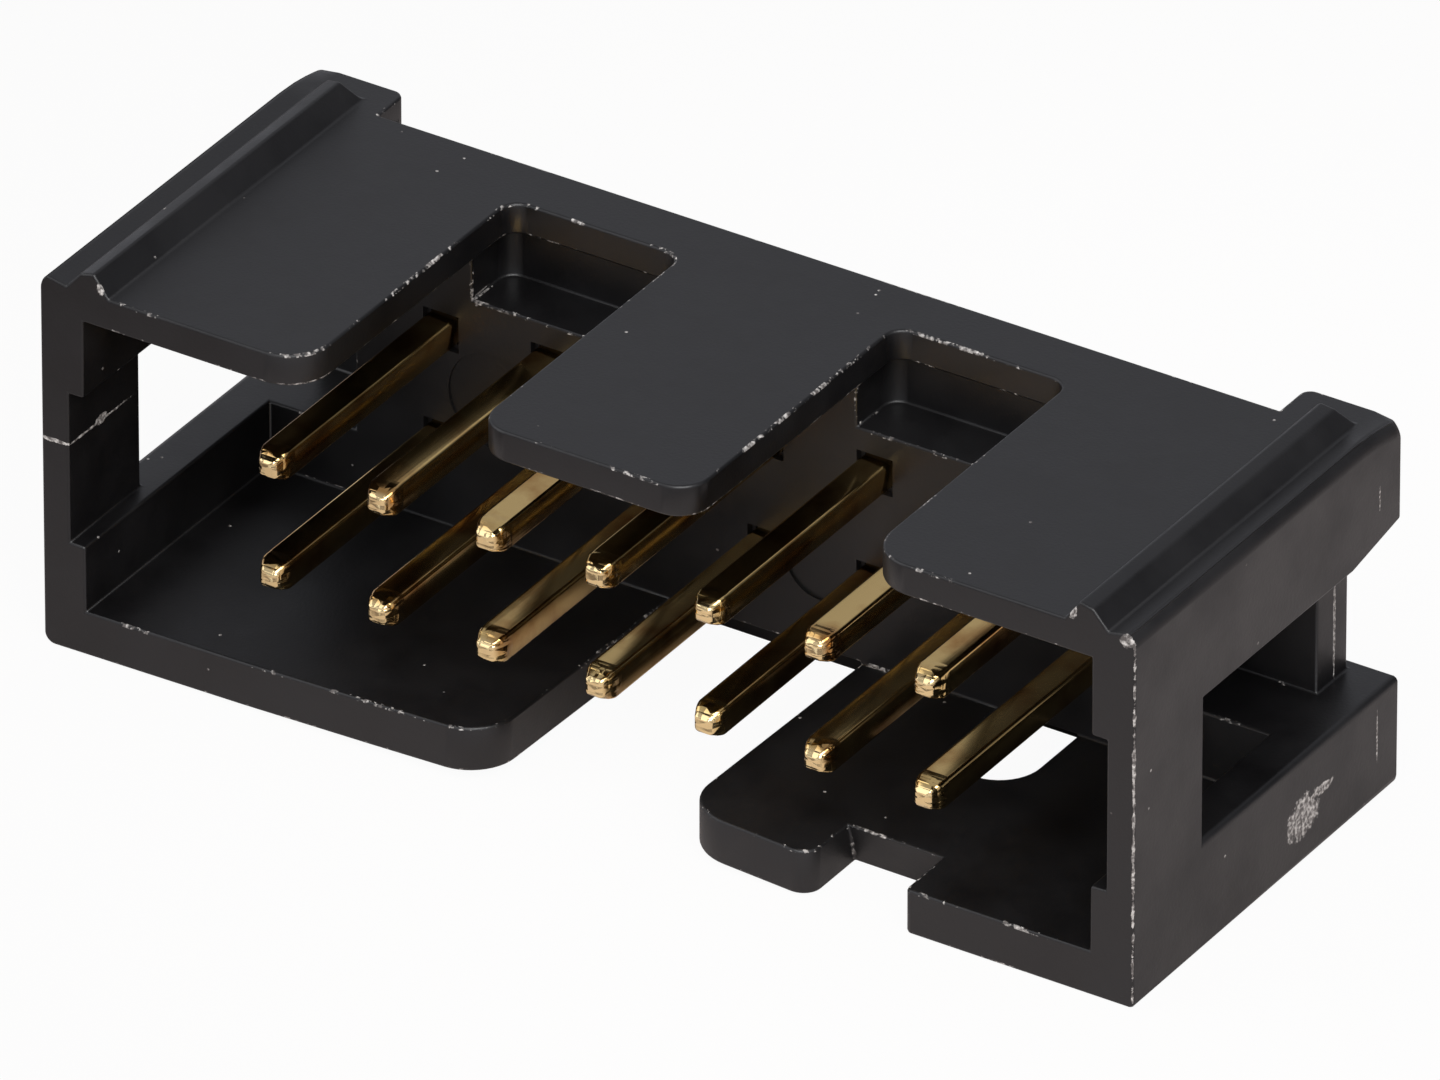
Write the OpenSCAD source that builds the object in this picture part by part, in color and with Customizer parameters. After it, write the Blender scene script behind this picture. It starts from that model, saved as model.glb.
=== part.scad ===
// Shrouded pin header for a ribbon-cable socket, in millimetres. Two rows of
// square contacts stand in one black moulding, which lies on its keyed wall.
// X runs along the rows, -Y is the open mating mouth, +Y the board side, +Z up.
// The origin is under the middle of the header, on the surface it lies on.
// Depths are counted from the mating face towards the board.

/* [Contacts] */
// Contacts in each of the two rows
columns = 7; // [5:1:10]
// Spacing of neighbouring contacts, along and across the rows
pitch = 2.54; // [2.4:0.01:2.7]
// Side of a contact's square section
contact_side = 0.64; // [0.5:0.01:0.8]
// Depth of the contact tips behind the mating face
tip_depth = 0.35; // [0:0.05:1]
// Length of the coined point at each end of a contact
point_length = 0.3; // [0.2:0.05:0.8]
// Side of the small flat that ends a point
point_flat = 0.36; // [0.2:0.01:0.45]
// Length of the tails beyond the board seat
tail_length = 2.85; // [2:0.05:4]

/* [Shroud] */
// Height of the shroud, from the keyed wall's outside to the top wall's
shroud_height = 8.4; // [8:0.05:9.5]
// Depth of the shroud's walls
shroud_depth = 8.85; // [8.6:0.05:10]
// Distance from the last contact column to the shroud's end
end_reach = 5.08; // [4.8:0.02:6]
// Thickness of the keyed wall
key_wall = 1; // [0.8:0.05:1.3]
// Thickness of the top wall
top_wall = 0.7; // [0.6:0.05:1]
// Thickness of the end walls
end_wall = 1; // [0.9:0.05:1.3]
// Edge radius along the top of the ends
top_edge_r = 0.35; // [0.1:0.05:0.6]
// Edge radius along the bottom of the ends
bottom_edge_r = 0.25; // [0.1:0.05:0.6]
// Width of the rib near each end of the top wall, at its foot
rib_width = 1; // [0.8:0.05:1.2]
// Height of the rib's inner top edge over the top wall
rib_height = 0.48; // [0.3:0.02:0.6]
// How much lower the rib's outer top edge is
rib_fall = 0.08; // [0.02:0.02:0.2]
// Run of the rib's sloping sides and rear end
rib_flank = 0.34; // [0.2:0.02:0.4]
// Distance from the shroud's end to the rib's foot
rib_inset = 0.62; // [0.5:0.02:0.9]
// Distance from the rib's rear end to the board seat
rib_setback = 0.65; // [0.4:0.05:2]
// How far the top rises from the rib's foot to the shroud's end
end_rise = 0.14; // [0.04:0.02:0.2]

/* [Base] */
// Depth of the base's front face, where the contacts come out
base_depth = 6.65; // [6:0.05:7]
// Thickness of the rear slab, behind the pockets
slab_thickness = 1.15; // [0.8:0.05:1.3]
// How far the slab stands behind the shroud's walls
slab_proud = 0.69; // [0.3:0.01:0.9]
// Step from the slab's long edges to the shroud's outside
slab_step = 0.5; // [0.3:0.05:0.6]
// Length of the lugs that stand on the board, behind the shroud's walls
lug_length = 1; // [0.95:0.05:1.5]
// Width of a lug along the rows
lug_width = 2.2; // [1.6:0.05:2.6]
// Radius of a lug's outer upright edge
lug_outer_r = 0.1; // [0.05:0.05:0.8]
// Radius of a lug's inner upright edge
lug_inner_r = 0.25; // [0.1:0.05:0.8]
// Width of the pocket at each end of the base
end_pocket_width = 2.05; // [1.5:0.05:2.6]
// Relief around a contact where it leaves the base
relief_gap = 0.1; // [0.05:0.01:0.2]
// Depth of that relief
relief_depth = 0.15; // [0.1:0.05:0.5]
// Radius of the larger ejector mark on the base
large_mark_r = 1.1; // [0.8:0.05:1.2]
// Radius of the smaller ejector mark on the base
small_mark_r = 0.8; // [0.5:0.05:1]
// Depth of the ejector marks
mark_depth = 0.06; // [0.02:0.01:0.15]

/* [End windows] */
// Depth at which a window starts
window_start = 2.55; // [2:0.05:4]
// Height of the windows' lower edge
window_low = 2.5; // [2.2:0.05:2.9]
// Height of the windows' upper edge
window_high = 5.8; // [5.3:0.05:6.2]
// Rise of the window's upper edge where it runs out between the lugs
window_flare = 0.35; // [0.1:0.05:0.5]
// Depth at which the flare starts
flare_start = 8.1; // [7.5:0.05:8.4]
// Depth of the groove that runs in the end wall from mouth to window
groove_depth = 0.36; // [0.2:0.02:0.5]
// Height of the lip between the groove's top and the window's
groove_lip = 0.13; // [0.05:0.01:0.3]

/* [Top notches] */
// Distance of a notch's middle from the middle of the row
notch_offset = 4.5; // [4:0.05:5]
// Width of a notch
notch_width = 4; // [3.5:0.05:4.5]
// Depth of a notch
notch_depth = 7.5; // [7:0.05:7.8]
// Radius of a notch's rear corners
notch_corner_r = 0.4; // [0.2:0.05:1]
// Radius of the mouth corners on the outer tabs
tab_corner_r = 0.95; // [0.3:0.05:1.2]
// Radius of the mouth corners on the middle tongue
tongue_corner_r = 0.7; // [0.3:0.05:1.2]
// How much wider the base pocket is than its notch, on each side
pocket_margin = 0.38; // [0.2:0.02:0.6]
// Depth of the pocket's rear wall
pocket_depth = 7.95; // [7.8:0.05:8.3]
// Height of the pocket under the top wall
pocket_height = 1.3; // [1:0.05:1.6]
// Radius of the pocket's upright corners
pocket_corner_r = 0.4; // [0.2:0.05:0.8]

/* [Keyed wall] */
// Width of the key slot
key_width = 4.5; // [4:0.05:5]
// Depth of the key slot
key_depth = 7.7; // [7:0.05:8]
// Radius of the key slot's rear corners
key_rear_r = 0.4; // [0.1:0.05:1]
// Radius of the key slot's mouth corners
key_corner_r = 1; // [0.3:0.05:1.2]
// Distance of the marker notch and slot from the middle of the row
marker_offset = 6.35; // [5.5:0.05:7]
// Width of the marker notch
marker_width = 2.2; // [1.5:0.05:2.6]
// Depth of the marker notch at the wall's inside
marker_depth = 1.4; // [1:0.05:2]
// How much deeper the marker notch is at the wall's outside
marker_slope = 0.3; // [0:0.05:0.6]
// Radius of the marker notch's mouth corner on the key slot's side
marker_inner_r = 0.45; // [0.2:0.05:0.8]
// Radius of its other mouth corner
marker_outer_r = 0.15; // [0.05:0.05:0.4]
// Width of the slot behind the marker notch
slot_width = 1.85; // [1.5:0.05:2.4]
// Depth at which that slot starts
slot_start = 4.3; // [4:0.05:5]
// Depth at which that slot ends
slot_end = 7.9; // [7:0.05:8.2]

/* [Hidden] */
$fn = 48;
// Overshoot of the cutting solids
skim = 0.5;
contact_count = 2 * columns;
shroud_length = pitch * (columns - 1) + 2 * end_reach;
cavity_length = shroud_length - 2 * end_wall;
seat_depth = shroud_depth + lug_length;
slab_rear = shroud_depth + slab_proud;
slab_front = slab_rear - slab_thickness;
header_depth = seat_depth + tail_length;
row_mid = shroud_height / 2;
ceiling = shroud_height - top_wall;

// Moves what is drawn from the mating face to the header's middle
module centred() {
    translate([0, -header_depth / 2, 0])
        children();
}

// A box given by its low and high corners
module box(low, high) {
    translate(low)
        cube(high - low);
}

// Extrudes an XZ outline along the depth, from one depth to another
module along_depth(from, to) {
    translate([0, to, 0])
        rotate([90, 0, 0])
            linear_extrude(to - from)
                children();
}

// Extrudes a depth-height outline along the rows, from one X to another
module along_rows(from, to) {
    translate([from, 0, 0])
        rotate([90, 0, 90])
            linear_extrude(to - from)
                children();
}

// Draws its child at both ends of the header
module both_ends() {
    for (side = [0, 1])
        mirror([side, 0, 0])
            children();
}

// What a round edge takes off a square corner that lies at the origin
module corner_waste(r) {
    difference() {
        translate([-skim, -skim])
            square(r + skim);
        translate([r, r])
            circle(r);
    }
}

// Plan of an opening cut in from the mating edge, with rounded corners
module mouth_opening(width, depth, rear_r, inner_r, outer_r) {
    difference() {
        translate([-width / 2, -skim])
            square([width, depth + skim]);
        translate([-width / 2, depth])
            mirror([0, 1])
                corner_waste(rear_r);
        translate([width / 2, depth])
            rotate(180)
                corner_waste(rear_r);
    }
    translate([-width / 2, 0])
        mirror([1, 0])
            corner_waste(inner_r);
    translate([width / 2, 0])
        corner_waste(outer_r);
}

// End view of the shroud's outside, whose top rises a little outside the ribs
module shroud_outline() {
    difference() {
        translate([-shroud_length / 2, 0])
            square([shroud_length, shroud_height + end_rise]);
        polygon([
            [-shroud_length / 2, shroud_height + end_rise + skim],
            [-shroud_length / 2, shroud_height + end_rise],
            [rib_inset - shroud_length / 2, shroud_height],
            [shroud_length / 2 - rib_inset, shroud_height],
            [shroud_length / 2, shroud_height + end_rise],
            [shroud_length / 2, shroud_height + end_rise + skim]
        ]);
        for (side = [0, 1])
            mirror([side, 0]) {
                translate([-shroud_length / 2, 0])
                    corner_waste(bottom_edge_r);
                translate([-shroud_length / 2, shroud_height + end_rise])
                    mirror([0, 1])
                        corner_waste(top_edge_r);
            }
    }
}

// Plan of the shroud and its lugs
module shroud_plan() {
    translate([-shroud_length / 2, 0])
        square([shroud_length, shroud_depth]);
    for (side = [0, 1])
        mirror([side, 0])
            translate([shroud_length / 2, seat_depth])
                rotate(180)
                    lug_plan();
}

// Plan of a lug with its outer rear corner at the origin
module lug_plan() {
    difference() {
        square([lug_width, 2 * lug_length]);
        corner_waste(lug_outer_r);
        translate([lug_width, 0])
            mirror([1, 0])
                corner_waste(lug_inner_r);
    }
}

// The moulding's outer form, before anything is cut from it
module outer_form() {
    intersection() {
        along_depth(0, seat_depth)
            shroud_outline();
        linear_extrude(shroud_height + end_rise)
            shroud_plan();
    }
    box([-cavity_length / 2, slab_front, slab_step],
        [cavity_length / 2, slab_rear, shroud_height - slab_step]);
    both_ends()
        rib();
}

// The rib near one end of the top wall: sloping sides and a sloping rear end
module rib() {
    rear = seat_depth - rib_setback;
    outer_foot = shroud_length / 2 - rib_inset;
    inner_foot = outer_foot - rib_width;
    intersection() {
        along_depth(0, rear)
            polygon([
                [inner_foot, shroud_height - top_wall / 2],
                [outer_foot, shroud_height - top_wall / 2],
                [outer_foot, shroud_height],
                [outer_foot - rib_flank, shroud_height + rib_height - rib_fall],
                [inner_foot + rib_flank, shroud_height + rib_height],
                [inner_foot, shroud_height]
            ]);
        along_rows(inner_foot, outer_foot)
            polygon([
                [0, shroud_height - top_wall],
                [rear, shroud_height - top_wall],
                [rear, shroud_height],
                [rear - rib_flank, shroud_height + rib_height],
                [0, shroud_height + rib_height]
            ]);
    }
}

// The space that the socket fills, in front of the base
module cavity() {
    box([-cavity_length / 2, -skim, key_wall],
        [cavity_length / 2, base_depth, ceiling]);
}

// Side view of a window, which grows taller where it runs out between the lugs
module window_profile() {
    polygon([
        [window_start, window_low],
        [seat_depth + skim, window_low],
        [seat_depth + skim, window_high + window_flare],
        [seat_depth, window_high + window_flare],
        [flare_start, window_high],
        [window_start, window_high]
    ]);
}

// The window through one end wall, open to the rear between the lugs
module end_window() {
    along_rows(cavity_length / 2, shroud_length / 2 + skim)
        window_profile();
    intersection() {
        along_rows(shroud_length / 2 - lug_width - skim, shroud_length / 2)
            window_profile();
        box([0, slab_rear, 0],
            [shroud_length, seat_depth + skim, shroud_height]);
    }
}

// The groove inside one end wall, from the mouth to the base
module end_groove() {
    box([cavity_length / 2 - skim, -skim, window_low],
        [cavity_length / 2 + groove_depth, base_depth, window_high + groove_lip]);
}

// The pocket at one end of the base, seen through the window
module end_pocket() {
    box([cavity_length / 2 - end_pocket_width, base_depth - skim, window_low],
        [cavity_length / 2, slab_front, window_high]);
}

// One notch of the top wall and the pocket that it opens in the base
module top_notch() {
    pocket_width = notch_width + 2 * pocket_margin;
    translate([notch_offset, 0, ceiling])
        linear_extrude(top_wall + skim)
            mouth_opening(notch_width, notch_depth, notch_corner_r, tongue_corner_r, tab_corner_r);
    translate([notch_offset, 0, ceiling - pocket_height])
        linear_extrude(pocket_height)
            difference() {
                translate([-pocket_width / 2, base_depth - skim])
                    square([pocket_width, pocket_depth - base_depth + skim]);
                translate([-pocket_width / 2, pocket_depth])
                    mirror([0, 1])
                        corner_waste(pocket_corner_r);
                translate([pocket_width / 2, pocket_depth])
                    rotate(180)
                        corner_waste(pocket_corner_r);
            }
}

// The key slot in the bottom wall
module key_slot() {
    translate([0, 0, -skim])
        linear_extrude(key_wall + skim)
            mouth_opening(key_width, key_depth, key_rear_r, key_corner_r, key_corner_r);
}

// The marker notch at the keyed wall's front edge, with a sloping rear face
module marker_notch() {
    inner_side = marker_offset - marker_width / 2;
    outer_side = marker_offset + marker_width / 2;
    along_rows(inner_side, outer_side)
        polygon([
            [-skim, 0],
            [-skim, key_wall],
            [marker_depth, key_wall],
            [marker_depth + marker_slope, 0]
        ]);
    linear_extrude(key_wall) {
        translate([inner_side, 0])
            mirror([1, 0])
                corner_waste(marker_inner_r);
        translate([outer_side, 0])
            corner_waste(marker_outer_r);
    }
}

// The slot through the keyed wall behind the marker notch, round at its front
module marker_slot() {
    translate([marker_offset, 0, -skim])
        linear_extrude(key_wall + skim) {
            translate([0, slot_start + slot_width / 2])
                circle(d = slot_width);
            translate([-slot_width / 2, slot_start + slot_width / 2])
                square([slot_width, slot_end - slot_start - slot_width / 2]);
        }
}

// Shallow round marks that the ejector pins leave on the base
module ejector_marks() {
    column_gap = pitch / 2;
    for (mark = [[-5 * column_gap, row_mid, large_mark_r], [column_gap, row_mid - pitch / 2, small_mark_r]])
        translate([mark[0], base_depth + mark_depth, mark[1]])
            rotate([90, 0, 0])
                cylinder(h = mark_depth + skim, r = mark[2]);
}

// Draws its child at every contact
module at_contacts() {
    for (index = [0 : contact_count - 1])
        translate(contact_place(index))
            children();
}

// Where a contact's axis meets the mating face; odd numbers are the lower row
function contact_place(index) = [
    (floor(index / 2) - (columns - 1) / 2) * pitch,
    0,
    row_mid + (index % 2 - 0.5) * pitch
];

// A square bar on the axis of a contact, from one depth to another
module square_bar(side, from, to) {
    box([-side / 2, from, -side / 2], [side / 2, to, side / 2]);
}

// The square hole of one contact, with the relief at its front
module contact_hole() {
    square_bar(contact_side, base_depth - skim, slab_rear + skim);
    square_bar(contact_side + 2 * relief_gap, base_depth - skim, base_depth + relief_depth);
}

module housing() {
    color("#2a292a")
        centred()
            difference() {
                outer_form();
                cavity();
                both_ends() {
                    end_window();
                    end_groove();
                    end_pocket();
                    top_notch();
                }
                key_slot();
                marker_notch();
                marker_slot();
                ejector_marks();
                at_contacts()
                    contact_hole();
            }
}

// Outline of a contact from the side: a bar with a point at each end
module contact_outline() {
    half = contact_side / 2;
    flat = point_flat / 2;
    polygon([
        [tip_depth, -flat],
        [tip_depth + point_length, -half],
        [header_depth - point_length, -half],
        [header_depth, -flat],
        [header_depth, flat],
        [header_depth - point_length, half],
        [tip_depth + point_length, half],
        [tip_depth, flat]
    ]);
}

// One contact, pointed on all four sides at both ends
module contact(index) {
    color("#c9a24a")
        centred()
            translate(contact_place(index))
                intersection() {
                    along_rows(-contact_side / 2, contact_side / 2)
                        contact_outline();
                    rotate([0, 90, 0])
                        along_rows(-contact_side / 2, contact_side / 2)
                            contact_outline();
                }
}

housing();
for (i = [1 : contact_count]) contact(i - 1);
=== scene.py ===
"""Shrouded pin header for a ribbon cable: rounded edges, wear, finishes, painted highlights and painted floor
shade, camera and studio light.
"""

from __future__ import annotations

import logging
import math
from dataclasses import dataclass, field
from typing import Any, Callable, Mapping

import bmesh
import bpy
import numpy as np
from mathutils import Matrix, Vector

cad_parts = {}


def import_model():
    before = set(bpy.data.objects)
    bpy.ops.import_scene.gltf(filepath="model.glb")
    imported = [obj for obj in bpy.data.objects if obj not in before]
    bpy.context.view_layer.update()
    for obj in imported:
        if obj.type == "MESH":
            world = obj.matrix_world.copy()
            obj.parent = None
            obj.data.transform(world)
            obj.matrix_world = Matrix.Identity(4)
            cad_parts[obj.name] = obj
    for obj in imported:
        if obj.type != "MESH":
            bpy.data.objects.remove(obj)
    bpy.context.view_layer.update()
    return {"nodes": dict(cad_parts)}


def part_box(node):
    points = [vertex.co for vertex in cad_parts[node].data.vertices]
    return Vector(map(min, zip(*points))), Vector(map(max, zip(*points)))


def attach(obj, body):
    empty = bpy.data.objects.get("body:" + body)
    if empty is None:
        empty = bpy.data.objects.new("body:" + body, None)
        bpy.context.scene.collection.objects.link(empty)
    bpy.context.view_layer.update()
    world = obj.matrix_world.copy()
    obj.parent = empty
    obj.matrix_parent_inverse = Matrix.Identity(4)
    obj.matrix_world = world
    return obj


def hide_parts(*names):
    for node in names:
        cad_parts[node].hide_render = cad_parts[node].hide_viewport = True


LOG = logging.getLogger("box_header")

MM = 0.001
NodeLinks = Mapping[str, bpy.types.NodeSocket]


def linear_colour(hex_code: str, alpha: float = 1.0) -> tuple[float, float, float, float]:
    """Turn an sRGB hex colour into the linear colour that Blender shades with.

    Args:
        hex_code: Six hex digits with a leading hash sign.
        alpha: Opacity of the colour.

    Returns:
        Linear red, green and blue, and the alpha.
    """
    channels = [int(hex_code[i : i + 2], 16) / 255 for i in (1, 3, 5)]
    # The sRGB standard's curve: a straight foot, then a power
    red, green, blue = (c / 12.92 if c <= 0.04045 else ((c + 0.055) / 1.055) ** 2.4 for c in channels)
    return (red, green, blue, alpha)


def add_node(
    material: bpy.types.Material | bpy.types.World,
    kind: str,
    settings: Mapping[str, Any] | None = None,
    links: NodeLinks | None = None,
) -> bpy.types.Node:
    """Add one shader node, set its values and link its inputs.

    Args:
        material: The material or world that holds the node tree.
        kind: Blender's type name of the node.
        settings: Values by name: a property of the node, or else an input socket.
        links: Output sockets by the name of the input that each one feeds.

    Returns:
        The new node.
    """
    node = material.node_tree.nodes.new(kind)
    for name, value in (settings or {}).items():
        if hasattr(node, name):
            setattr(node, name, value)
        else:
            find_input(node, name).default_value = value
    for name, source in (links or {}).items():
        material.node_tree.links.new(source, find_input(node, name))
    return node


def find_input(node: bpy.types.Node, name: str) -> bpy.types.NodeSocket:
    """Find an enabled input socket of a node, by its name or its place.

    Args:
        node: The node to look in.
        name: The socket's name, or its number as text.

    Returns:
        The first enabled socket with that name.
    """
    if name.isdigit():
        return node.inputs[int(name)]
    return next(s for s in node.inputs if s.name == name and s.enabled)


def new_material(name: str) -> bpy.types.Material:
    """Make an empty node material.

    Args:
        name: The material's name.

    Returns:
        The material, with no node in its tree.
    """
    material = bpy.data.materials.new(name)
    material.use_nodes = True
    material.node_tree.nodes.clear()
    return material


@dataclass(frozen=True)
class PaleMark:
    """A pale mark on the moulding, as an uneven oval: a rubbed patch, a scratch or a painted highlight.

    Attributes:
        centre: Its middle, in millimetres in the part's frame.
        reach: Half of its size along each axis, in millimetres.
        raggedness: How far noise pushes its outline in and out, as a share of its size.
    """

    centre: tuple[float, float, float]
    reach: tuple[float, float, float]
    raggedness: float = 0.8


@dataclass(frozen=True)
class MouldedPolyester:
    """Black glass-filled polyester, injection moulded in a spark-eroded tool.

    The eye sees a nearly black satin with a very fine grain, cloudy flow marks in the gloss,
    small pale specks and rubbed patches, a painted highlight along one end's front edge,
    and edges that handling has chipped to a pale grey.
    """

    colour: str = "#0c0b0c"
    cloud_colour: str = "#131213"
    # Pale colours of chips, specks and rubbed patches, also of the painted highlight along one edge
    chip_and_highlight_colour: str = "#5d5855"
    bright_chip_and_highlight_colour: str = "#d8d3cd"
    roughness: tuple[float, float] = (0.34, 0.5)
    ior: float = 1.55
    # Coarser than a real tool's grain, so that it shows
    grain_size: float = 0.07 * MM
    relief_strength: float = 0.35
    relief_height: float = 0.008 * MM
    cloud_size: float = 2.5 * MM
    cloud_range: tuple[float, float] = (0.35, 0.65)
    # A speck's radius is a share of the specks' spacing
    speck_spacing: float = 0.7 * MM
    speck_radius: float = 0.035
    speck_blur: float = 1.6
    specks_kept: float = 0.42
    # Chips come in clusters, on outward edges, and not near the two ends
    chip_size: float = 0.11 * MM
    cluster_size: float = 1.3 * MM
    cluster_share: float = 1.2
    chip_range: tuple[float, float] = (1.21, 1.32)
    outward_range: tuple[float, float] = (0.49, 0.51)
    chipped_reach: float = 11.0 * MM
    crumb_size: float = 0.09 * MM
    crumb_range: tuple[float, float] = (0.42, 0.68)
    # What a chip, speck, rubbed patch or painted highlight adds to the roughness and to the relief
    pale_roughness: float = 0.3
    pale_relief: float = 2.0
    scuff_and_highlight_grain: float = 0.25 * MM
    scuff_and_highlight_fade: float = 0.85
    scuffs_and_highlights: tuple[PaleMark, ...] = (
        # A rough patch on the lower beam of one end
        PaleMark((12.7, -0.08, 1.12), (0.2, 0.58, 0.48), 0.7),
        PaleMark((12.7, 0.66, 1.4), (0.2, 0.45, 0.12), 0.7),
        # Painted highlight along the front edge of that end, broken by a few chips, and its chipped top
        # corner
        PaleMark((12.68, -6.33, 4.3), (0.03, 0.03, 4.1), 2.4),
        PaleMark((12.5, -6.35, 8.35), (0.16, 0.08, 0.18), 0.8),
        # A fine crack across the other end's front edge, running on inside
        PaleMark((-12.35, -6.35, 4.76), (0.42, 0.08, 0.045), 0.9),
        PaleMark((-12.06, -5.2, 4.74), (0.1, 1.15, 0.03), 1.4),
        PaleMark((-12.06, -5.2, 4.76), (0.1, 0.2, 0.12), 0.9),
        # Chipped front rims of the two ribs
        PaleMark((-11.24, -6.35, 8.68), (0.1, 0.05, 0.22), 0.9),
        PaleMark((11.27, -6.35, 8.66), (0.1, 0.05, 0.22), 0.9),
        # Flash of the mould's parting line at the rear of each end
        PaleMark((11.7, 2.68, 4.2), (0.08, 0.045, 1.9), 0.8),
        PaleMark((12.7, 2.7, 1.5), (0.08, 0.03, 0.6), 0.5),
        PaleMark((12.7, 2.7, 7.0), (0.08, 0.03, 0.3), 0.5),
        PaleMark((-12.7, 2.7, 1.5), (0.08, 0.03, 0.6), 0.5),
        PaleMark((-12.7, 2.7, 7.0), (0.08, 0.03, 0.3), 0.5),
    )

    def scuff_and_highlight_mask(
        self, material: bpy.types.Material, place: bpy.types.NodeSocket, pale_mark: PaleMark
    ) -> bpy.types.NodeSocket:
        """Work out where one pale mark lies, a rubbed patch, a scratch or a painted highlight: inside an oval
        whose outline noise moves.

        Args:
            material: The material to add the nodes to.
            place: The object coordinates.
            pale_mark: The mark to draw: a rubbed patch, a scratch or a painted highlight.

        Returns:
            A value of 1 in the scuff and 0 outside it.
        """
        ragged = add_node(
            material,
            "ShaderNodeTexNoise",
            {"Scale": 1 / self.scuff_and_highlight_grain, "Detail": 4.0, "Roughness": 0.75},
            {"Vector": place},
        )
        away = add_node(
            material,
            "ShaderNodeVectorMath",
            {"operation": "SUBTRACT", "1": Vector(pale_mark.centre) * MM},
            {"0": place},
        )
        scaled = add_node(
            material,
            "ShaderNodeVectorMath",
            {"operation": "DIVIDE", "1": Vector(pale_mark.reach) * MM},
            {"0": away.outputs["Vector"]},
        )
        reached = add_node(
            material, "ShaderNodeVectorMath", {"operation": "LENGTH"}, {"0": scaled.outputs["Vector"]}
        )
        pushed = add_node(
            material,
            "ShaderNodeMath",
            {"operation": "MULTIPLY_ADD", "1": 2 * pale_mark.raggedness, "2": -pale_mark.raggedness},
            {"0": ragged.outputs["Fac"]},
        )
        edge = add_node(
            material,
            "ShaderNodeMath",
            {"operation": "ADD"},
            {"0": reached.outputs["Value"], "1": pushed.outputs["Value"]},
        )
        mask = add_node(
            material,
            "ShaderNodeMapRange",
            {"From Min": 1.0, "From Max": self.scuff_and_highlight_fade, "To Min": 0.0, "To Max": 1.0},
            {"Value": edge.outputs["Value"]},
        )
        return mask.outputs["Result"]

    def speck_mask(self, material: bpy.types.Material, place: bpy.types.NodeSocket) -> bpy.types.NodeSocket:
        """Scatter pale dust specks: the middles of cells, of which only some are kept.

        Args:
            material: The material to add the nodes to.
            place: The object coordinates.

        Returns:
            A value of 1 in a speck and 0 between them.
        """
        cells = add_node(
            material, "ShaderNodeTexVoronoi", {"Scale": 1 / self.speck_spacing}, {"Vector": place}
        )
        dot = add_node(
            material,
            "ShaderNodeMapRange",
            {"From Min": self.speck_blur * self.speck_radius, "From Max": self.speck_radius},
            {"Value": cells.outputs["Distance"]},
        )
        chance = add_node(
            material, "ShaderNodeSeparateColor", {}, {"Color": cells.outputs["Color"]}
        ).outputs["Red"]
        kept = add_node(
            material,
            "ShaderNodeMath",
            {"operation": "LESS_THAN", "1": self.specks_kept},
            {"0": chance},
        )
        return add_node(
            material,
            "ShaderNodeMath",
            {"operation": "MULTIPLY"},
            {"0": dot.outputs["Result"], "1": kept.outputs["Value"]},
        ).outputs["Value"]

    def chip_mask(self, material: bpy.types.Material, place: bpy.types.NodeSocket) -> bpy.types.NodeSocket:
        """Break the edges' pale wear into chips that come in clusters, away from the two ends.

        Args:
            material: The material to add the nodes to.
            place: The object coordinates.

        Returns:
            A value of 1 in a chip and 0 between them.
        """
        chips = add_node(
            material,
            "ShaderNodeTexNoise",
            {"Scale": 1 / self.chip_size, "Detail": 2.0},
            {"Vector": place},
        )
        clusters = add_node(
            material, "ShaderNodeTexNoise", {"Scale": 1 / self.cluster_size, "Detail": 2.0}, {"Vector": place}
        )
        both = add_node(
            material,
            "ShaderNodeMath",
            {"operation": "MULTIPLY_ADD", "1": self.cluster_share},
            {"0": clusters.outputs["Fac"], "2": chips.outputs["Fac"]},
        )
        chipped = add_node(
            material,
            "ShaderNodeMapRange",
            {"From Min": self.chip_range[0], "From Max": self.chip_range[1]},
            {"Value": both.outputs["Value"]},
        )
        outward = add_node(
            material,
            "ShaderNodeMapRange",
            {"From Min": self.outward_range[0], "From Max": self.outward_range[1]},
            {"Value": add_node(material, "ShaderNodeNewGeometry").outputs["Pointiness"]},
        )
        spread = add_node(
            material,
            "ShaderNodeMath",
            {"operation": "MULTIPLY"},
            {"0": chipped.outputs["Result"], "1": outward.outputs["Result"]},
        )
        parts = add_node(material, "ShaderNodeSeparateXYZ", {}, {"Vector": place})
        along = add_node(material, "ShaderNodeMath", {"operation": "ABSOLUTE"}, {"0": parts.outputs["X"]})
        inboard = add_node(
            material,
            "ShaderNodeMath",
            {"operation": "LESS_THAN", "1": self.chipped_reach},
            {"0": along.outputs["Value"]},
        )
        return add_node(
            material,
            "ShaderNodeMath",
            {"operation": "MULTIPLY"},
            {"0": spread.outputs["Value"], "1": inboard.outputs["Value"]},
        ).outputs["Value"]

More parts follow.
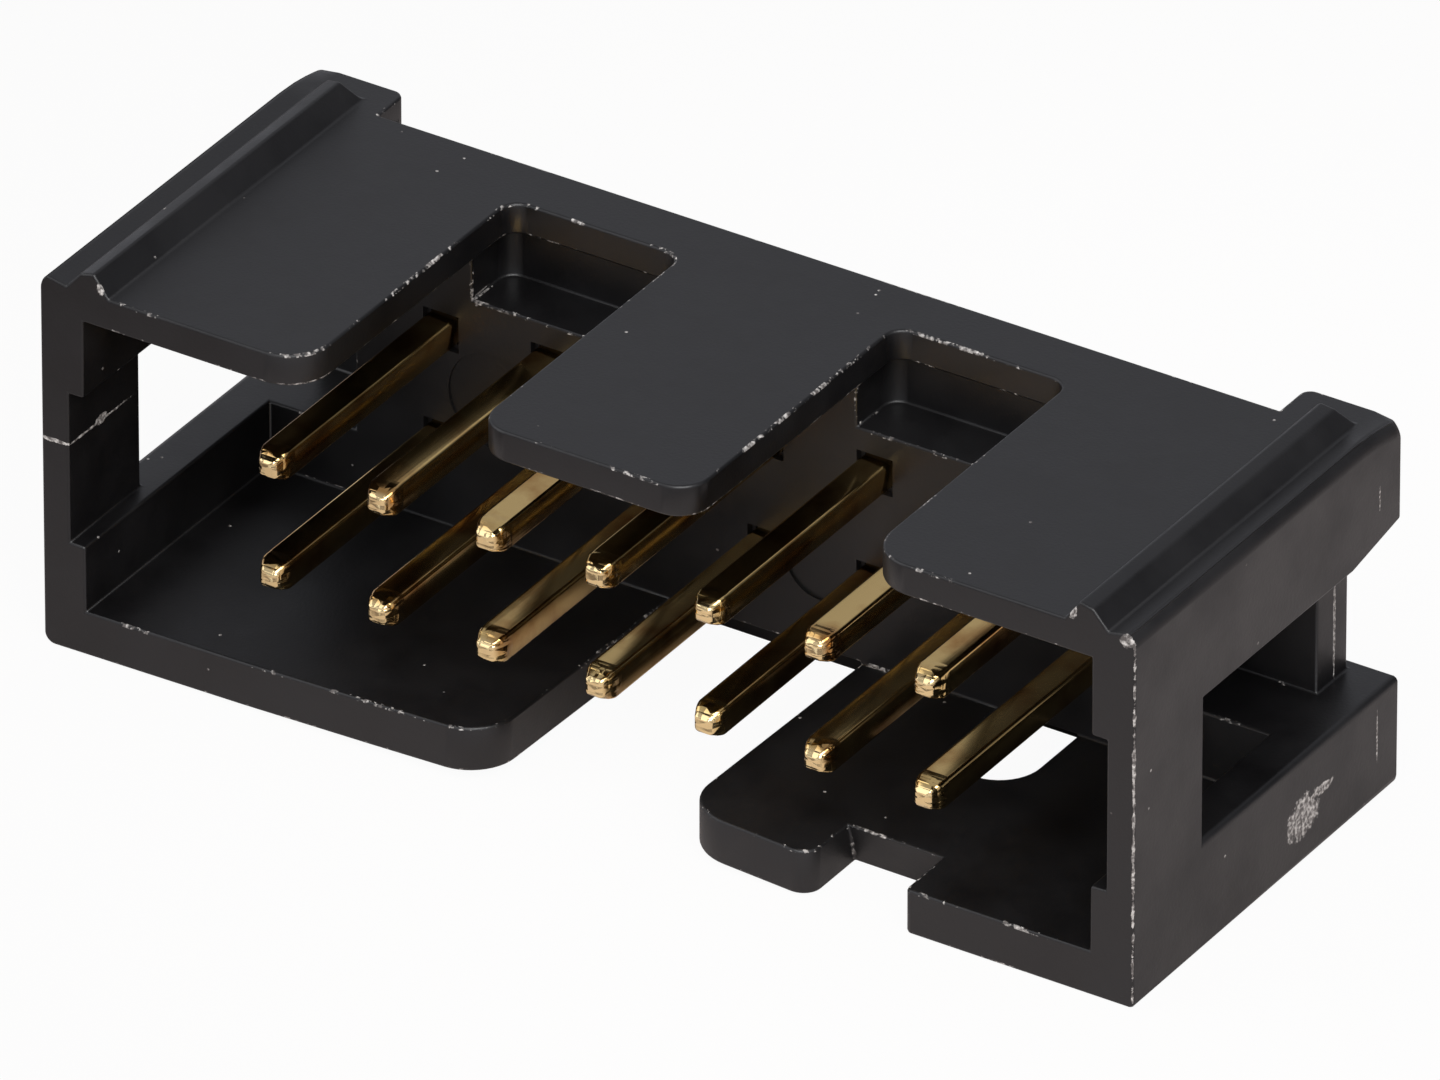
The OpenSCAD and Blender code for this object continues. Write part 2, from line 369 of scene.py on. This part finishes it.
    def make(self, name: str, rubbed: bool) -> bpy.types.Material:
        """Build the material.

        Args:
            name: The material's name.
            rubbed: Whether the surface is an edge that handling has chipped.

        Returns:
            The finished material.
        """
        material = new_material(name)
        place = add_node(material, "ShaderNodeTexCoord").outputs["Object"]
        marks = [self.speck_mask(material, place)]
        # Pale marks: dust specks, rubbed patches, scratches, and a painted highlight along one end's front
        # edge
        marks += [self.scuff_and_highlight_mask(material, place, pale_mark) for pale_mark in self.scuffs_and_highlights]
        if rubbed:
            marks.append(self.chip_mask(material, place))
        pale = marks[0]
        for mark in marks[1:]:
            pale = add_node(
                material, "ShaderNodeMath", {"operation": "MAXIMUM"}, {"0": pale, "1": mark}
            ).outputs["Value"]
        clouds = add_node(
            material,
            "ShaderNodeTexNoise",
            {"Scale": 1 / self.cloud_size, "Detail": 4.0, "Roughness": 0.6},
            {"Vector": place},
        ).outputs["Fac"]
        flow = add_node(
            material,
            "ShaderNodeMapRange",
            {"From Min": self.cloud_range[0], "From Max": self.cloud_range[1]},
            {"Value": clouds},
        ).outputs["Result"]
        plastic = add_node(
            material,
            "ShaderNodeMix",
            {"data_type": "RGBA", "A": linear_colour(self.colour), "B": linear_colour(self.cloud_colour)},
            {"Factor": flow},
        )
        crumbs = add_node(
            material, "ShaderNodeTexNoise", {"Scale": 1 / self.crumb_size, "Detail": 3.0}, {"Vector": place}
        )
        crumbled = add_node(
            material,
            "ShaderNodeMapRange",
            {"From Min": self.crumb_range[0], "From Max": self.crumb_range[1]},
            {"Value": crumbs.outputs["Fac"]},
        )
        # The pale colour of chips, specks and rubbed patches, and of the painted highlight
        chip = add_node(
            material,
            "ShaderNodeMix",
            {
                "data_type": "RGBA",
                "A": linear_colour(self.chip_and_highlight_colour),
                "B": linear_colour(self.bright_chip_and_highlight_colour),
            },
            {"Factor": crumbled.outputs["Result"]},
        )
        colour = add_node(
            material,
            "ShaderNodeMix",
            {"data_type": "RGBA"},
            {"Factor": pale, "A": plastic.outputs["Result"], "B": chip.outputs["Result"]},
        )
        satin = add_node(
            material,
            "ShaderNodeMapRange",
            {"To Min": self.roughness[0], "To Max": self.roughness[1]},
            {"Value": flow},
        )
        dulled = add_node(
            material,
            "ShaderNodeMath",
            {"operation": "MULTIPLY_ADD", "1": self.pale_roughness},
            {"0": pale, "2": satin.outputs["Result"]},
        )
        grain = add_node(
            material, "ShaderNodeTexNoise", {"Scale": 1 / self.grain_size, "Detail": 2.0}, {"Vector": place}
        )
        relief = add_node(
            material,
            "ShaderNodeMath",
            {"operation": "MULTIPLY_ADD", "1": self.pale_relief},
            {"0": pale, "2": grain.outputs["Fac"]},
        )
        bump = add_node(
            material,
            "ShaderNodeBump",
            {"Strength": self.relief_strength, "Distance": self.relief_height},
            {"Height": relief.outputs["Value"]},
        )
        surface = add_node(
            material,
            "ShaderNodeBsdfPrincipled",
            {"IOR": self.ior},
            {
                "Base Color": colour.outputs["Result"],
                "Roughness": dulled.outputs["Value"],
                "Normal": bump.outputs["Normal"],
            },
        )
        add_node(material, "ShaderNodeOutputMaterial", {}, {"Surface": surface.outputs["BSDF"]})
        return material


@dataclass(frozen=True)
class PlatedContact:
    """Drawn square brass wire, gold plated at the mating end and tinned at the tail.

    The eye sees a warm, bright metal with fine drawing lines along it, browner where
    the plating is thin, and crumpled facets where the tips were coined, palest at
    their very ends: burnish, with a painted highlight.
    """

    gold: str = "#eccb88"
    thin_gold: str = "#a5682c"
    # Paler metal at the very tips: burnish, with a painted highlight
    burnished_highlight: str = "#ffe3aa"
    tin: str = "#b9b8b4"
    roughness: float = 0.15
    # Coarser than a real wire's drawing lines, so that they show
    line_width: float = 0.05 * MM
    line_length: float = 3 * MM
    relief_height: float = 0.001 * MM
    tarnish_size: float = 1.2 * MM
    thin_range: tuple[float, float] = (0.45, 0.75)
    tin_fade: float = 0.4 * MM
    facet_size: float = 0.3 * MM
    facet_squeeze: tuple[float, float, float] = (0.7, 1.0, 1.6)
    facet_relief: float = 48.0
    # Distances from the tips' ends: where each finish starts, and where it is full
    coined_range: tuple[float, float] = (0.55 * MM, 0.1 * MM)
    # The very ends' paler metal is burnish with a painted highlight
    burnished_highlight_range: tuple[float, float] = (0.16 * MM, 0.04 * MM)

    def make(self, name: str, tip_at: float, tin_from: float) -> bpy.types.Material:
        """Build the material.

        Args:
            name: The material's name.
            tip_at: Depth, along +Y, of the tips' ends.
            tin_from: Depth at which the tin starts.

        Returns:
            The finished material.
        """
        material = new_material(name)
        place = add_node(material, "ShaderNodeTexCoord").outputs["Object"]
        depth = add_node(material, "ShaderNodeSeparateXYZ", {}, {"Vector": place}).outputs["Y"]
        tinned = add_node(
            material,
            "ShaderNodeMapRange",
            {"From Min": tin_from, "From Max": tin_from + self.tin_fade},
            {"Value": depth},
        )
        coined = add_node(
            material,
            "ShaderNodeMapRange",
            {"From Min": tip_at + self.coined_range[0], "From Max": tip_at + self.coined_range[1]},
            {"Value": depth},
        ).outputs["Result"]
        drawn = add_node(
            material,
            "ShaderNodeMapping",
            {"Scale": (1 / self.line_width, 1 / self.line_length, 1 / self.line_width)},
            {"Vector": place},
        )
        lines = add_node(
            material, "ShaderNodeTexNoise", {"Scale": 1.0, "Detail": 2.0}, {"Vector": drawn.outputs["Vector"]}
        )
        tarnish = add_node(
            material, "ShaderNodeTexNoise", {"Scale": 1 / self.tarnish_size, "Detail": 4.0}, {"Vector": place}
        )
        thin = add_node(
            material,
            "ShaderNodeMapRange",
            {"From Min": self.thin_range[0], "From Max": self.thin_range[1]},
            {"Value": tarnish.outputs["Fac"]},
        )
        plated = add_node(
            material,
            "ShaderNodeMix",
            {"data_type": "RGBA", "A": linear_colour(self.gold), "B": linear_colour(self.thin_gold)},
            {"Factor": thin.outputs["Result"]},
        )
        # The very tips paler: burnish, with a painted highlight
        end = add_node(
            material,
            "ShaderNodeMapRange",
            {
                "From Min": tip_at + self.burnished_highlight_range[0],
                "From Max": tip_at + self.burnished_highlight_range[1],
            },
            {"Value": depth},
        )
        burnished_and_highlit = add_node(
            material,
            "ShaderNodeMix",
            {"data_type": "RGBA", "B": linear_colour(self.burnished_highlight)},
            {"Factor": end.outputs["Result"], "A": plated.outputs["Result"]},
        )
        colour = add_node(
            material,
            "ShaderNodeMix",
            {"data_type": "RGBA", "B": linear_colour(self.tin)},
            {"Factor": tinned.outputs["Result"], "A": burnished_and_highlit.outputs["Result"]},
        )
        squeezed = add_node(material, "ShaderNodeMapping", {"Scale": self.facet_squeeze}, {"Vector": place})
        facets = add_node(
            material,
            "ShaderNodeTexVoronoi",
            {"feature": "F1", "distance": "MANHATTAN", "Scale": 1 / self.facet_size, "Randomness": 0.9},
            {"Vector": squeezed.outputs["Vector"]},
        )
        crumpled = add_node(
            material,
            "ShaderNodeMath",
            {"operation": "MULTIPLY"},
            {"0": facets.outputs["Distance"], "1": coined},
        )
        relief = add_node(
            material,
            "ShaderNodeMath",
            {"operation": "MULTIPLY_ADD", "1": self.facet_relief},
            {"0": crumpled.outputs["Value"], "2": lines.outputs["Fac"]},
        )
        bump = add_node(
            material,
            "ShaderNodeBump",
            {"Strength": 1.0, "Distance": self.relief_height},
            {"Height": relief.outputs["Value"]},
        )
        surface = add_node(
            material,
            "ShaderNodeBsdfPrincipled",
            {"Metallic": 1.0, "Roughness": self.roughness},
            {"Base Color": colour.outputs["Result"], "Normal": bump.outputs["Normal"]},
        )
        add_node(material, "ShaderNodeOutputMaterial", {}, {"Surface": surface.outputs["BSDF"]})
        return material


@dataclass(frozen=True)
class Backdrop:
    """Matt white paper under the header.

    The eye sees it nearly pure white, with only a faint shadow. Its colour is painted
    darker away from a point near the header's right end: painted shade, so that the
    light it throws on the header is strongest close by and weaker further out.
    """

    colour: str = "#d9cfcb"
    # Painted shade: the paper darkens away from a point near the header's right end, so that the far floor
    # throws less light on the header
    painted_shade_colour: str = "#6e6562"
    painted_light_centre: tuple[float, float, float] = (12 * MM, 2 * MM, 0.0)
    painted_falloff: tuple[float, float] = (16 * MM, 50 * MM)
    glow: float = 0.95

    def make(self, name: str) -> bpy.types.Material:
        """Build the material.

        Args:
            name: The material's name.

        Returns:
            The finished material.
        """
        material = new_material(name)
        place = add_node(material, "ShaderNodeTexCoord").outputs["Object"]
        offset = add_node(
            material, "ShaderNodeVectorMath", {"operation": "DISTANCE", "1": self.painted_light_centre}, {"0": place}
        )
        # Painted shade: the paper's colour darkens with the distance from that point
        painted_falloff = add_node(
            material,
            "ShaderNodeMapRange",
            {"From Min": self.painted_falloff[0], "From Max": self.painted_falloff[1]},
            {"Value": offset.outputs["Value"]},
        )
        painted_falloff_colour = add_node(
            material,
            "ShaderNodeMix",
            {"data_type": "RGBA", "A": linear_colour(self.colour), "B": linear_colour(self.painted_shade_colour)},
            {"Factor": painted_falloff.outputs["Result"]},
        )
        paper = add_node(material, "ShaderNodeBsdfDiffuse", {}, {"Color": painted_falloff_colour.outputs["Result"]})
        white = add_node(material, "ShaderNodeEmission", {"Color": (1, 1, 1, 1), "Strength": 1.0})
        seen = add_node(material, "ShaderNodeLightPath").outputs["Is Camera Ray"]
        share = add_node(material, "ShaderNodeMath", {"operation": "MULTIPLY", "1": self.glow}, {"0": seen})
        surface = add_node(
            material,
            "ShaderNodeMixShader",
            {},
            {"Fac": share.outputs["Value"], "1": paper.outputs["BSDF"], "2": white.outputs["Emission"]},
        )
        add_node(material, "ShaderNodeOutputMaterial", {}, {"Surface": surface.outputs["Shader"]})
        return material


@dataclass
class Housing:
    """The black moulding: a copy of its solid, slightly warped and worn, with rounded edges."""

    node: bpy.types.Object
    # An edge's radius is a share of the widest one; the lower beams' outer top edges have more
    widest_radius: float = 0.3 * MM
    edge_share: float = 0.2
    beam_share: float = 0.5
    edge_segments: int = 2
    join_distance: float = 0.0005 * MM
    cut_distance: float = 0.0001 * MM
    flat_angle: float = math.radians(0.3)
    edge_angle: float = math.radians(35)
    crease_angle: float = math.radians(10)
    # What marks out the shallow round marks on the base's front, and the contact holes
    shortest_edge: float = 0.2 * MM
    mark_depth: float = 0.08 * MM
    base_front: float = 0.3 * MM
    contact_reach: float = 0.5 * MM
    # The solid's fine roundings of the outer rear corners, and the height of its lower beams
    corner_radius: float = 0.1 * MM
    beam_top: float = 2.5 * MM
    # The keyed wall lies below wall_top, and bends at the cuts
    wall_top: float = 1.7 * MM
    wall_rise: float = 0.33 * MM
    rise_power: float = 1.6
    right_rise_reach: float = 5.5 * MM
    warp_cuts: tuple[float, ...] = (-8 * MM, -5 * MM, 3.8 * MM)
    # The wear starts this far in from an end and from the rear, and at this height
    wear: float = 0.24 * MM
    worn_from: Vector = field(default_factory=lambda: Vector((0.62, 1.4, 8.1)) * MM)
    worn_cuts: tuple[float, ...] = (2.1 * MM, 2.6 * MM, 3.0 * MM, 3.3 * MM)
    # The solid's foot corner, and the share of its radius that stays at the mouth
    foot_radius: float = 0.25 * MM
    foot_share: float = 0.4

    def make_skin(self) -> bpy.types.Object:
        """Copy the solid's mesh, join its loose triangles, merge them into flat faces and warp it.

        The outer rear corners are squared first, and the faces that bend are cut.

        Returns:
            The copy, which stands for the solid.
        """
        mesh = self.node.data.copy()
        mesh.name = "moulding"
        work = bmesh.new()
        work.from_mesh(mesh)
        bmesh.ops.remove_doubles(work, verts=work.verts, dist=self.join_distance)
        work.to_mesh(mesh)
        self.move_points(mesh, self.square_corners)
        work.clear()
        work.from_mesh(mesh)
        bmesh.ops.remove_doubles(work, verts=work.verts, dist=self.join_distance)
        bmesh.ops.dissolve_degenerate(work, edges=work.edges, dist=self.join_distance)
        bmesh.ops.dissolve_limit(work, angle_limit=self.flat_angle, verts=work.verts, edges=work.edges)
        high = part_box("housing")[1]
        for depth in self.worn_cuts:
            ends = [face for face in work.faces if face.calc_center_median().z > self.worn_from.z]
            ends = [face for face in ends if abs(face.calc_center_median().x) > high.x - self.worn_from.x]
            self.cut(work, ends, Vector((0, depth, 0)), Vector((0, 1, 0)))
        for across in self.warp_cuts:
            wall = [face for face in work.faces if max(vertex.co.z for vertex in face.verts) < self.wall_top]
            wall = [face for face in wall if face.calc_center_median().y < self.base_front - self.mark_depth]
            self.cut(work, wall, Vector((across, 0, 0)), Vector((1, 0, 0)))
        work.to_mesh(mesh)
        work.free()
        self.move_points(mesh, self.warp)
        skin = bpy.data.objects.new("moulding", mesh)
        bpy.context.scene.collection.objects.link(skin)
        return skin

    def cut(
        self, work: bmesh.types.BMesh, faces: list[bmesh.types.BMFace], place: Vector, normal: Vector
    ) -> None:
        """Cut some of the faces along a plane, so that they can bend there.

        Args:
            work: The mesh.
            faces: The faces to cut.
            place: A point of the plane.
            normal: The plane's direction.
        """
        edges = {edge for face in faces for edge in face.edges}
        corners = {vertex for face in faces for vertex in face.verts}
        bmesh.ops.bisect_plane(
            work,
            geom=[*corners, *edges, *faces],
            plane_co=place,
            plane_no=normal,
            dist=self.cut_distance,
        )

    @staticmethod
    def move_points(mesh: bpy.types.Mesh, change: Callable[[np.ndarray], np.ndarray]) -> None:
        """Put a mesh's points through a change of place.

        Args:
            mesh: The mesh.
            change: Takes the points as rows of X, Y and Z and gives them back moved.
        """
        flat = np.empty(len(mesh.vertices) * 3)
        mesh.vertices.foreach_get("co", flat)
        mesh.vertices.foreach_set("co", change(flat.reshape(-1, 3)).ravel())
        mesh.update()

    def square_corners(self, points: np.ndarray) -> np.ndarray:
        """Draw the fine roundings of the outer rear corners out to plain corners, to be rounded again.

        Points on the roundings move back to the rear plane. Where the corner is upright,
        they also move out to the end plane, and to the nearest height on the edge there.

        Args:
            points: The mesh's points.

        Returns:
            The points with those of the corners moved.
        """
        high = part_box("housing")[1]
        moved = points.copy()
        along, depth, height = np.abs(points[:, 0]), points[:, 1], points[:, 2]
        near = self.join_distance
        on_arc = (along > high.x - self.corner_radius - near) & (depth > high.y - self.corner_radius - near)
        foot = (along > high.x - near) & (np.abs(depth - high.y + self.corner_radius) < near)
        levels = height[foot]
        straight = on_arc & (height > levels.min() - near) & (height < levels.max() + near)
        nearest = np.abs(height[:, None] - levels[None]).argmin(1)
        moved[on_arc, 1] = high.y
        moved[straight, 0] = np.sign(points[straight, 0]) * high.x
        moved[straight, 2] = levels[nearest[straight]]
        return moved

    def warp(self, points: np.ndarray) -> np.ndarray:
        """Bend the moulding as it left the mould and was handled.

        The keyed wall rises towards the key slot: on the left with a power of the distance
        from the end, on the right in a straight line, and in both from nothing at the base
        to all of it at the mouth. The upper outer rear corners sink with the distance
        past the wear's start along X, times its square along Y. The right foot's rounding
        shrinks towards its corner at the mouth.

        Args:
            points: The mesh's points.

        Returns:
            The points with those changes.
        """
        low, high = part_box("housing")
        moved = points.copy()
        across, depth, height = points.T
        share = np.clip((self.base_front - depth) / (self.base_front - low.y), 0, 1)
        left = np.clip((across - low.x) / -low.x, 0, 1) ** self.rise_power * (across < 0) * self.wall_rise
        right = np.clip(1 - across / self.right_rise_reach, 0, 1) * (across > 0) * self.wall_rise
        moved[:, 2] += (left + right) * share * (height < self.wall_top)
        edge = np.clip((np.abs(across) - high.x + self.worn_from.x) / self.worn_from.x, 0, 1)
        rear = np.clip((depth - high.y + self.worn_from.y) / self.worn_from.y, 0, 1)
        moved[:, 2] -= self.wear * edge * rear**2 * (height > self.worn_from.z)
        at_foot = (across > high.x - self.foot_radius - self.join_distance) & (
            height < low.z + self.foot_radius + self.join_distance
        )
        at_foot &= np.abs(depth - low.y) < self.join_distance
        corner = np.array([high.x, low.y, low.z])
        moved[at_foot] = corner + (points[at_foot] - corner) * self.foot_share
        return moved

    def mark_edges(self, mesh: bpy.types.Mesh, axes: np.ndarray) -> None:
        """Mark the edges where two faces meet at an angle: to be rounded, or to stay sharp.

        Edges sharper than edge_angle are rounded. Sharp stay the contact holes, the shallow
        round marks on the base's front, and the edges between crease_angle and edge_angle.

        Args:
            mesh: The joined mesh, in which each edge has two faces.
            axes: X and Z of each contact's axis, in metres.
        """
        ends = np.empty(len(mesh.edges) * 2, np.int64)
        mesh.edges.foreach_get("vertices", ends)
        points = np.empty(len(mesh.vertices) * 3)
        mesh.vertices.foreach_get("co", points)
        tips = points.reshape(-1, 3)[ends.reshape(-1, 2)]
        loop_edges = np.empty(len(mesh.loops), np.int64)
        mesh.loops.foreach_get("edge_index", loop_edges)
        sides = np.empty(len(mesh.polygons), np.int64)
        mesh.polygons.foreach_get("loop_total", sides)
        normals = np.empty(len(mesh.polygons) * 3)
        mesh.polygons.foreach_get("normal", normals)
        faces = np.repeat(np.arange(len(sides)), sides)[np.argsort(loop_edges, kind="stable")].reshape(-1, 2)
        pairs = normals.reshape(-1, 3)[faces]
        turn = (pairs[:, 0] * pairs[:, 1]).sum(1)
        sharp = turn < math.cos(self.edge_angle)
        creased = turn < math.cos(self.crease_angle)
        middle = tips.mean(1)
        gaps = np.abs(middle[:, None, [0, 2]] - axes[None]).max(2).min(1)
        at_hole = (gaps < self.contact_reach) & (middle[:, 1] > self.base_front - self.join_distance)
        behind = tips[:, :, 1] - self.base_front
        on_front = (behind > -self.join_distance).all(1) & (behind < self.mark_depth).all(1)
        short = np.linalg.norm(tips[:, 0] - tips[:, 1], axis=1) < self.shortest_edge
        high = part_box("housing")[1]
        round_off = sharp & ~at_hole & ~(on_front & short)
        on_beam = (np.abs(tips[:, :, 2] - self.beam_top) < self.join_distance).all(1)
        on_side = (np.abs(tips[:, :, 0]) > high.x - self.join_distance).all(1)
        shares = np.where(on_beam & on_side, self.beam_share, self.edge_share) * round_off
        weights = mesh.attributes.new("bevel_weight_edge", "FLOAT", "EDGE")
        weights.data.foreach_set("value", shares.astype(np.float32))
        mesh.shade_smooth()
        creases = mesh.attributes.get("sharp_edge") or mesh.attributes.new("sharp_edge", "BOOLEAN", "EDGE")
        creases.data.foreach_set("value", creased & ~round_off)

    def dress(self, axes: np.ndarray) -> None:
        """Round the moulding's edges and give flats and edges their materials.

        Args:
            axes: X and Z of each contact's axis, in metres.
        """
        skin = self.make_skin()
        mesh = skin.data
        self.mark_edges(mesh, axes)
        plastic = MouldedPolyester()
        mesh.materials.clear()
        mesh.materials.append(plastic.make("black_polyester", rubbed=False))
        mesh.materials.append(plastic.make("rubbed_black_polyester", rubbed=True))
        bevel = skin.modifiers.new("Edges", "BEVEL")
        bevel.width = self.widest_radius
        bevel.segments = self.edge_segments
        bevel.limit_method = "WEIGHT"
        bevel.use_clamp_overlap = False
        bevel.material = 1
        shading = skin.modifiers.new("Flats", "WEIGHTED_NORMAL")
        shading.weight = 100
        shading.keep_sharp = True
        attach(skin, "root")
        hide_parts("housing")


@dataclass
class Contacts:
    """The two rows of square contacts."""

    nodes: list[bpy.types.Object]
    edge_radius: float = 0.085 * MM
    edge_segments: int = 4
    edge_angle: float = math.radians(25)
    flat_angle: float = math.radians(0.5)
    join_distance: float = 0.0005 * MM

    def axes(self) -> np.ndarray:
        """Give X and Z of each contact's axis, in metres."""
        boxes = [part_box(node.name) for node in self.nodes]
        return np.array([[(low.x + high.x) / 2, (low.z + high.z) / 2] for low, high in boxes])

    def dress(self, tin_from: float) -> None:
        """Give every contact its plating and rounded corners.

        Args:
            tin_from: Depth at which the tinned tail starts.
        """
        tip_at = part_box(self.nodes[0].name)[0].y
        plating = PlatedContact().make("gold_plating", tip_at, tin_from)
        for node in self.nodes:
            node.data.materials.clear()
            node.data.materials.append(plating)
            node.data.shade_smooth()
            weld = node.modifiers.new("Join", "WELD")
            weld.merge_threshold = self.join_distance
            flats = node.modifiers.new("Flats", "DECIMATE")
            flats.decimate_type = "DISSOLVE"
            flats.angle_limit = self.flat_angle
            bevel = node.modifiers.new("Edges", "BEVEL")
            bevel.width = self.edge_radius
            bevel.segments = self.edge_segments
            bevel.limit_method = "ANGLE"
            bevel.angle_limit = self.edge_angle
            bevel.use_clamp_overlap = True
            bevel.harden_normals = True


@dataclass(frozen=True)
class SoftBox:
    """A square lamp that faces the header.

    Attributes:
        name: The lamp's name.
        place: Where it stands, in metres.
        size: Length of its side, in metres.
        power: Its power in watts.
    """

    name: str
    place: tuple[float, float, float]
    size: float
    power: float


@dataclass
class Studio:
    """Camera, floor, lamps and world."""

    azimuth: float = math.radians(32.55)
    elevation: float = math.radians(31.41)
    distance: float = 632.8 * MM
    nearest: float = 10 * MM
    sensor_mm: float = 36.0
    lens_mm: float = 804.4
    aim: Vector = field(default_factory=lambda: Vector((0.085, -1.499, 4.057)) * MM)
    # The floor lies a hair under the header, so that the two never share a plane
    floor_half: float = 1500 * MM
    floor_height: float = -0.02 * MM
    # The world's light by the height of the direction, and the dark card's share of it
    horizon_range: tuple[float, float] = (0.1, 0.4)
    horizon_light: float = 0.95
    sky_light: float = 0.455
    sky_colour: str = "#f0f2fb"
    card_direction: tuple[float, float, float] = (0.6, 0.71, 0.37)
    card_range: tuple[float, float] = (0.78, 0.93)
    card_light: float = 0.25
    soft_boxes: tuple[SoftBox, ...] = (
        SoftBox("key", (0.45, -0.55, 0.8), 0.8, 10.0),
        SoftBox("fill", (-0.7, -0.4, 0.6), 0.8, 2.0),
    )

    def add_camera(self) -> None:
        """Aim the camera at the header from its front right, above."""
        data = bpy.data.cameras.new("camera")
        data.sensor_width = self.sensor_mm
        data.lens = self.lens_mm
        data.clip_start = self.nearest
        camera = bpy.data.objects.new("camera", data)
        bpy.context.scene.collection.objects.link(camera)
        level = math.cos(self.elevation)
        towards = Vector(
            (
                math.sin(self.azimuth) * level,
                -math.cos(self.azimuth) * level,
                math.sin(self.elevation),
            )
        )
        camera.location = self.aim + towards * self.distance
        camera.rotation_euler = towards.to_track_quat("Z", "Y").to_euler()
        bpy.context.scene.camera = camera

    def add_floor(self) -> None:
        """Lay a wide sheet of white paper under the header."""
        half, height = self.floor_half, self.floor_height
        mesh = bpy.data.meshes.new("floor")
        corners = [(-half, -half, height), (half, -half, height), (half, half, height), (-half, half, height)]
        mesh.from_pydata(corners, [], [(0, 1, 2, 3)])
        mesh.materials.append(Backdrop().make("paper_with_painted_falloff"))
        floor = bpy.data.objects.new("floor", mesh)
        bpy.context.scene.collection.objects.link(floor)

    @staticmethod
    def add_lamp(box: SoftBox) -> None:
        """Add a soft box and turn it towards the header.

        Args:
            box: The soft box to add.
        """
        data = bpy.data.lights.new(box.name, "AREA")
        data.size = box.size
        data.energy = box.power
        lamp = bpy.data.objects.new(box.name, data)
        lamp.location = box.place
        lamp.rotation_euler = Vector(box.place).to_track_quat("Z", "Y").to_euler()
        bpy.context.scene.collection.objects.link(lamp)

    def add_world(self) -> None:
        """Surround the header with nearly white light, and give the camera a white background.

        The light is bright near the horizon and dimmer above, with one dark card behind
        the header's right end.
        """
        world = bpy.data.worlds.new("studio")
        bpy.context.scene.world = world
        world.use_nodes = True
        world.node_tree.nodes.clear()
        seen = add_node(world, "ShaderNodeLightPath").outputs["Is Camera Ray"]
        direction = add_node(world, "ShaderNodeTexCoord").outputs["Generated"]
        height = add_node(world, "ShaderNodeSeparateXYZ", {}, {"Vector": direction}).outputs["Z"]
        surround = add_node(
            world,
            "ShaderNodeMapRange",
            {
                "From Min": self.horizon_range[0],
                "From Max": self.horizon_range[1],
                "To Min": self.horizon_light,
                "To Max": self.sky_light,
            },
            {"Value": height},
        ).outputs["Result"]
        towards_card = add_node(
            world,
            "ShaderNodeVectorMath",
            {"operation": "DOT_PRODUCT", "1": self.card_direction},
            {"0": direction},
        )
        card = add_node(
            world,
            "ShaderNodeMapRange",
            {
                "From Min": self.card_range[0],
                "From Max": self.card_range[1],
                "To Min": 1.0,
                "To Max": self.card_light,
            },
            {"Value": towards_card.outputs["Value"]},
        )
        shaded = add_node(
            world, "ShaderNodeMath", {"operation": "MULTIPLY"}, {"0": surround, "1": card.outputs["Result"]}
        ).outputs["Value"]
        strength = add_node(
            world, "ShaderNodeMix", {"data_type": "FLOAT", "B": 1.0}, {"Factor": seen, "A": shaded}
        )
        tint = add_node(
            world,
            "ShaderNodeMix",
            {"data_type": "RGBA", "A": linear_colour(self.sky_colour), "B": (1, 1, 1, 1)},
            {"Factor": seen},
        )
        light = add_node(
            world,
            "ShaderNodeBackground",
            {},
            {"Color": tint.outputs["Result"], "Strength": strength.outputs["Result"]},
        )
        add_node(world, "ShaderNodeOutputWorld", {}, {"Surface": light.outputs["Background"]})

    def build(self) -> None:
        """Set up the whole studio."""
        bpy.context.scene.view_settings.view_transform = "Standard"
        self.add_camera()
        self.add_floor()
        self.add_world()
        for box in self.soft_boxes:
            self.add_lamp(box)


def main() -> None:
    """Load the frame, dress each piece and report it."""
    logging.basicConfig(level=logging.INFO, format="%(message)s")
    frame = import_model()
    Studio().build()
    LOG.info("studio: camera, floor, lamps and world")
    pins = Contacts([node for name, node in frame["nodes"].items() if name.startswith("pin_")])
    Housing(frame["nodes"]["housing"]).dress(pins.axes())
    LOG.info("housing: moulding dressed")
    pins.dress(tin_from=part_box("housing")[1].y)
    LOG.info("contacts: %d dressed", len(pins.nodes))


if __name__ == "__main__":
    main()
